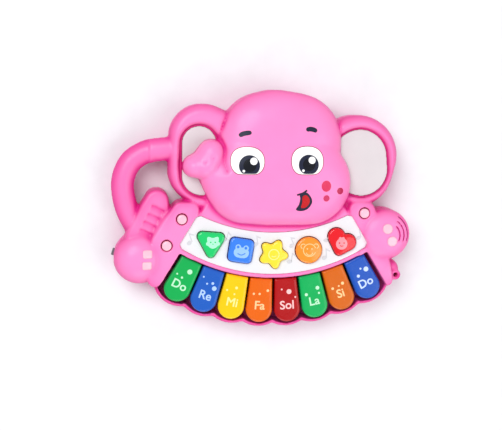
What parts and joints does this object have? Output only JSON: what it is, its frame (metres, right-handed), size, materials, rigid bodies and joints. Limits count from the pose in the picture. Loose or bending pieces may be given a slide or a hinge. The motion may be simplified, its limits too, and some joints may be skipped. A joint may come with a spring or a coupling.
{
  "type": "toy keyboard",
  "caption": "Toddler's toy keyboard in the shape of an elephant, with hinged coloured keys, shaped push buttons on a panel, a carrying loop and a battery bay.",
  "frame": {"origin": "centre of the footprint's box, on the plane the feet rest on", "axes": "+X to the object's right as a player sees it, +Y to the top of the head, +Z out of the face"},
  "size_m": [0.2593, 0.2066, 0.046],
  "materials": {
    "pink_housing": "satin moulded",
    "pink_rear_housing": "satin moulded",
    "pearl_grey": "satin",
    "white_panel": "satin",
    "button_triangle_plastic": "gloss",
    "button_square_plastic": "gloss",
    "button_star_plastic": "gloss",
    "button_circle_plastic": "gloss",
    "button_heart_plastic": "gloss",
    "light_pink_button": "satin",
    "tact_switch": "plain",
    "key_colour_1": "gloss",
    "key_colour_2": "gloss",
    "key_colour_3": "gloss",
    "key_colour_4": "gloss",
    "key_colour_5": "gloss",
    "key_colour_6": "gloss",
    "key_colour_7": "gloss",
    "key_colour_8": "gloss",
    "carrier_plastic": "plain",
    "circuit_board": "solder mask",
    "glob_top": "epoxy",
    "contact_rubber": "plain",
    "speaker_steel": "plated",
    "speaker_paper": "paper",
    "switch_metal": "plated",
    "slider_grey": "plain",
    "battery_wrap": "shrink sleeve",
    "contact_metal": "plated",
    "screw_steel": "zinc plated",
    "speaker_lead_cover": "plain",
    "battery_lead_cover": "plain",
    "switch_lead_cover": "plain"
  },
  "bodies": {
    "housing": {"front_shell": "pink_housing", "rear_shell": "pink_rear_housing", "ear_panel_left": "pearl_grey", "ear_panel_right": "pearl_grey", "button_panel": "white_panel", "function_switch_1": "tact_switch", "function_switch_2": "tact_switch", "function_switch_3": "tact_switch", "key_carrier": "carrier_plastic", "key_retainer": "carrier_plastic", "main_board": "circuit_board", "sound_chip": "glob_top", "button_contact_pad": "contact_rubber", "key_board": "circuit_board", "key_contact_strip": "contact_rubber", "speaker": "speaker_steel", "speaker_cone": "speaker_paper", "power_switch": "switch_metal", "battery_1": "battery_wrap", "battery_2": "battery_wrap", "battery_3": "battery_wrap", "battery_contact_left": "contact_metal", "battery_contact_right": "contact_metal", "case_screw_1": "screw_steel", "case_screw_2": "screw_steel", "case_screw_3": "screw_steel", "case_screw_4": "screw_steel", "case_screw_5": "screw_steel", "case_screw_6": "screw_steel", "case_screw_7": "screw_steel", "speaker_lead": "speaker_lead_cover", "battery_lead": "battery_lead_cover", "switch_lead": "switch_lead_cover"},
    "key_1": {"key_1": "key_colour_1"},
    "key_2": {"key_2": "key_colour_2"},
    "key_3": {"key_3": "key_colour_3"},
    "key_4": {"key_4": "key_colour_4"},
    "key_5": {"key_5": "key_colour_5"},
    "key_6": {"key_6": "key_colour_6"},
    "key_7": {"key_7": "key_colour_7"},
    "key_8": {"key_8": "key_colour_8"},
    "button_triangle": {"button_triangle": "button_triangle_plastic"},
    "button_square": {"button_square": "button_square_plastic"},
    "button_star": {"button_star": "button_star_plastic"},
    "button_circle": {"button_circle": "button_circle_plastic"},
    "button_heart": {"button_heart": "button_heart_plastic"},
    "function_button_1": {"function_button_1": "light_pink_button"},
    "function_button_2": {"function_button_2": "light_pink_button"},
    "function_button_3": {"function_button_3": "light_pink_button"},
    "power_slider": {"switch_slider": "slider_grey"},
    "battery_cover": {"battery_door": "pink_rear_housing", "door_screw": "screw_steel"}
  },
  "joints": [
    {"name": "key_1_hinge", "type": "hinge", "parent": "housing", "child": "key_1", "pos_m": [-0.0466, -0.01403, 0.017], "axis": [0.8914, -0.4532, 0], "range_deg": [0, 3.2], "stiffness_Nm_per_rad": 1, "springref_deg": -1.72},
    {"name": "key_2_hinge", "type": "hinge", "parent": "housing", "child": "key_2", "pos_m": [-0.03128, -0.02057, 0.017], "axis": [0.9441, -0.3297, 0], "range_deg": [0, 3.2], "stiffness_Nm_per_rad": 1, "springref_deg": -1.72},
    {"name": "key_3_hinge", "type": "hinge", "parent": "housing", "child": "key_3", "pos_m": [-0.01523, -0.02499, 0.017], "axis": [0.9798, -0.2002, 0], "range_deg": [0, 3.2], "stiffness_Nm_per_rad": 1, "springref_deg": -1.72},
    {"name": "key_4_hinge", "type": "hinge", "parent": "housing", "child": "key_4", "pos_m": [0.00127, -0.02722, 0.017], "axis": [0.9977, -0.0671, 0], "range_deg": [0, 3.2], "stiffness_Nm_per_rad": 1, "springref_deg": -1.72},
    {"name": "key_5_hinge", "type": "hinge", "parent": "housing", "child": "key_5", "pos_m": [0.01793, -0.02722, 0.017], "axis": [0.9977, 0.0671, 0], "range_deg": [0, 3.2], "stiffness_Nm_per_rad": 1, "springref_deg": -1.72},
    {"name": "key_6_hinge", "type": "hinge", "parent": "housing", "child": "key_6", "pos_m": [0.03443, -0.02499, 0.017], "axis": [0.9798, 0.2002, 0], "range_deg": [0, 3.2], "stiffness_Nm_per_rad": 1, "springref_deg": -1.72},
    {"name": "key_7_hinge", "type": "hinge", "parent": "housing", "child": "key_7", "pos_m": [0.05048, -0.02057, 0.017], "axis": [0.9441, 0.3297, 0], "range_deg": [0, 3.2], "stiffness_Nm_per_rad": 1, "springref_deg": -1.72},
    {"name": "key_8_hinge", "type": "hinge", "parent": "housing", "child": "key_8", "pos_m": [0.0658, -0.01403, 0.017], "axis": [0.8914, 0.4532, 0], "range_deg": [0, 3.2], "stiffness_Nm_per_rad": 1, "springref_deg": -1.72},
    {"name": "button_triangle_press", "type": "slide", "parent": "housing", "child": "button_triangle", "axis": [0, 0, -1], "range_m": [0, 0.002], "stiffness_N_per_m": 600, "springref_m": -0.0005},
    {"name": "button_square_press", "type": "slide", "parent": "housing", "child": "button_square", "axis": [0, 0, -1], "range_m": [0, 0.002], "stiffness_N_per_m": 600, "springref_m": -0.0005},
    {"name": "button_star_press", "type": "slide", "parent": "housing", "child": "button_star", "axis": [0, 0, -1], "range_m": [0, 0.002], "stiffness_N_per_m": 600, "springref_m": -0.0005},
    {"name": "button_circle_press", "type": "slide", "parent": "housing", "child": "button_circle", "axis": [0, 0, -1], "range_m": [0, 0.002], "stiffness_N_per_m": 600, "springref_m": -0.0005},
    {"name": "button_heart_press", "type": "slide", "parent": "housing", "child": "button_heart", "axis": [0, 0, -1], "range_m": [0, 0.002], "stiffness_N_per_m": 600, "springref_m": -0.0005},
    {"name": "function_button_1_press", "type": "slide", "parent": "housing", "child": "function_button_1", "axis": [0, 0, -1], "range_m": [0, 0.001], "stiffness_N_per_m": 600, "springref_m": -0.0005},
    {"name": "function_button_2_press", "type": "slide", "parent": "housing", "child": "function_button_2", "axis": [0, 0, -1], "range_m": [0, 0.001], "stiffness_N_per_m": 600, "springref_m": -0.0005},
    {"name": "function_button_3_press", "type": "slide", "parent": "housing", "child": "function_button_3", "axis": [0, 0, -1], "range_m": [0, 0.001], "stiffness_N_per_m": 600, "springref_m": -0.0005},
    {"name": "power_slide", "type": "slide", "parent": "housing", "child": "power_slider", "axis": [0.294, 0.9558, 0], "range_m": [0, 0.004]},
    {"name": "battery_cover_lift", "type": "slide", "parent": "housing", "child": "battery_cover", "axis": [0, 0, -1], "range_m": [0, 0.015]}
  ]
}
